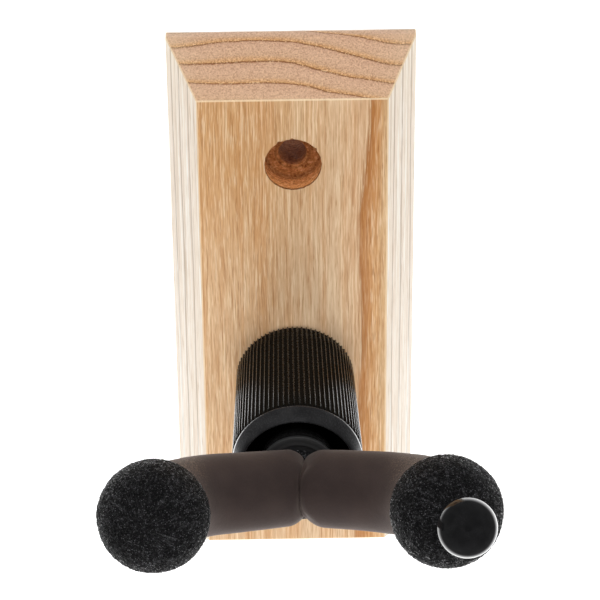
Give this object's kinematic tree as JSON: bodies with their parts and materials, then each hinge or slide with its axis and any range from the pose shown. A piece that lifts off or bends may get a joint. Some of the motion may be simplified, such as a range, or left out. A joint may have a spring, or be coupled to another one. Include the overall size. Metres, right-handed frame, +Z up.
{
  "type": "wall guitar hanger",
  "caption": "Wall guitar hanger: a bevelled ash block with screw holes carries a ribbed black cup and a swivelling steel yoke with foam sleeves, foam ball ends and a small glossy peg.",
  "frame": {"origin": "centre of the block's back face, on the wall", "axes": "+Y into the wall, +Z up along the block's length, +X to the right of someone facing the wall"},
  "size_m": [0.1051, 0.1457, 0.165],
  "materials": {
    "ash_wood": "satin",
    "cup_plastic": "satin",
    "bushing_acetal": "satin",
    "bushing_nylon": "satin",
    "nut_nylon": "satin",
    "zinc_steel": "satin",
    "spring_steel": "satin",
    "black_steel": "satin",
    "insert_brass": "satin",
    "brown_foam": "matte",
    "black_foam": "matte",
    "peg_plastic": "gloss"
  },
  "bodies": {
    "wall_bracket": {"backing_block": "ash_wood", "cup_housing": "cup_plastic", "front_bushing": "bushing_acetal", "rear_bushing": "bushing_nylon", "upper_cup_dowel": "zinc_steel", "lower_cup_dowel": "zinc_steel"},
    "yoke": {"yoke_rod": "black_steel", "yoke_stem": "zinc_steel", "stem_collar": "black_foam", "left_sleeve": "brown_foam", "right_sleeve": "brown_foam", "left_ball": "black_foam", "right_ball": "black_foam", "peg_stud": "zinc_steel", "peg_insert": "insert_brass", "peg_ball": "peg_plastic", "flat_washer": "zinc_steel", "spring_washer": "spring_steel", "lock_nut": "zinc_steel", "lock_nut_insert": "nut_nylon"}
  },
  "joints": [
    {"name": "yoke_swivel", "type": "hinge", "parent": "wall_bracket", "child": "yoke", "pos_m": [0, -0.0821, -0.0154], "axis": [0, -1, 0], "continuous": true}
  ]
}
